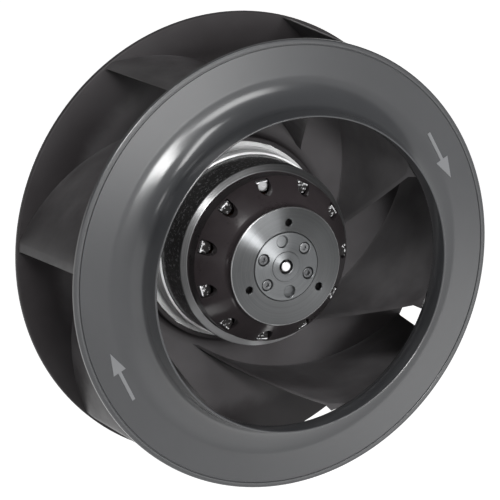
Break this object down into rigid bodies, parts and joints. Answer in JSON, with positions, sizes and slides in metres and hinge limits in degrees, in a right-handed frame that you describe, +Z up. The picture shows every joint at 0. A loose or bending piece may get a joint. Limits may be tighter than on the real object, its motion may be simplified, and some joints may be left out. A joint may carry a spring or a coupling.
{
  "type": "plug fan",
  "caption": "Plug fan: a shrouded impeller with backward-curved blades, pressed on the rotor of an external rotor motor with a rear mounting flange.",
  "frame": {"origin": "centre of the motor flange's mounting face", "axes": "+Y along the fan's axis out of the mounting face, so the inlet faces -Y; +Z up"},
  "size_m": [0.25, 0.1081, 0.25],
  "materials": {
    "impeller_plastic": "satin",
    "shroud_plastic": "satin",
    "rotor_black": "satin",
    "rotor_steel": "rough",
    "rotor_aluminium": "turned",
    "cage_aluminium": "cast",
    "hub_metal": "turned",
    "screw_steel": "satin",
    "shaft_steel": "ground",
    "bearing_steel": "ground",
    "cage_brass": "satin",
    "flange_aluminium": "cast",
    "gland_rubber": "matte",
    "cover_steel": "satin",
    "stator_steel": "laminated",
    "winding_copper": "enamelled"
  },
  "bodies": {
    "stator": {"motor_flange": "flange_aluminium", "cable_gland": "gland_rubber", "bearing_cover": "cover_steel", "stator_stack": "stator_steel", "stator_winding": "winding_copper", "bearing_outer_front": "bearing_steel", "bearing_outer_rear": "bearing_steel", "wave_washer": "bearing_steel"},
    "impeller": {"shroud": "shroud_plastic", "back_disc": "impeller_plastic", "blade_1": "impeller_plastic", "blade_2": "impeller_plastic", "blade_3": "impeller_plastic", "blade_4": "impeller_plastic", "blade_5": "impeller_plastic", "blade_6": "impeller_plastic", "blade_7": "impeller_plastic", "rotor_ring": "rotor_aluminium", "rotor_stack": "rotor_steel", "cage_ring_front": "cage_aluminium", "cage_ring_rear": "cage_aluminium", "rotor_cap": "rotor_black", "hub_plate": "hub_metal", "hub_screw_1": "screw_steel", "hub_screw_2": "screw_steel", "hub_screw_3": "screw_steel", "hub_screw_4": "screw_steel", "shaft": "shaft_steel", "retaining_ring": "bearing_steel", "bearing_inner_front": "bearing_steel", "bearing_inner_rear": "bearing_steel"},
    "front_balls": {"ball_cage_front": "cage_brass"},
    "rear_balls": {"ball_cage_rear": "cage_brass"}
  },
  "joints": [
    {"name": "impeller_spin", "type": "hinge", "parent": "stator", "child": "impeller", "pos_m": [0, 0, 0], "axis": [0, 1, 0], "continuous": true},
    {"name": "front_balls_roll", "type": "hinge", "parent": "stator", "child": "front_balls", "pos_m": [0, -0.07, 0], "axis": [0, 1, 0], "continuous": true},
    {"name": "rear_balls_roll", "type": "hinge", "parent": "stator", "child": "rear_balls", "pos_m": [0, -0.0115, 0], "axis": [0, 1, 0], "continuous": true}
  ],
  "couplings": [
    {"joint": "front_balls_roll", "follows": "impeller_spin", "ratio": 0.3758},
    {"joint": "rear_balls_roll", "follows": "impeller_spin", "ratio": 0.3758}
  ]
}
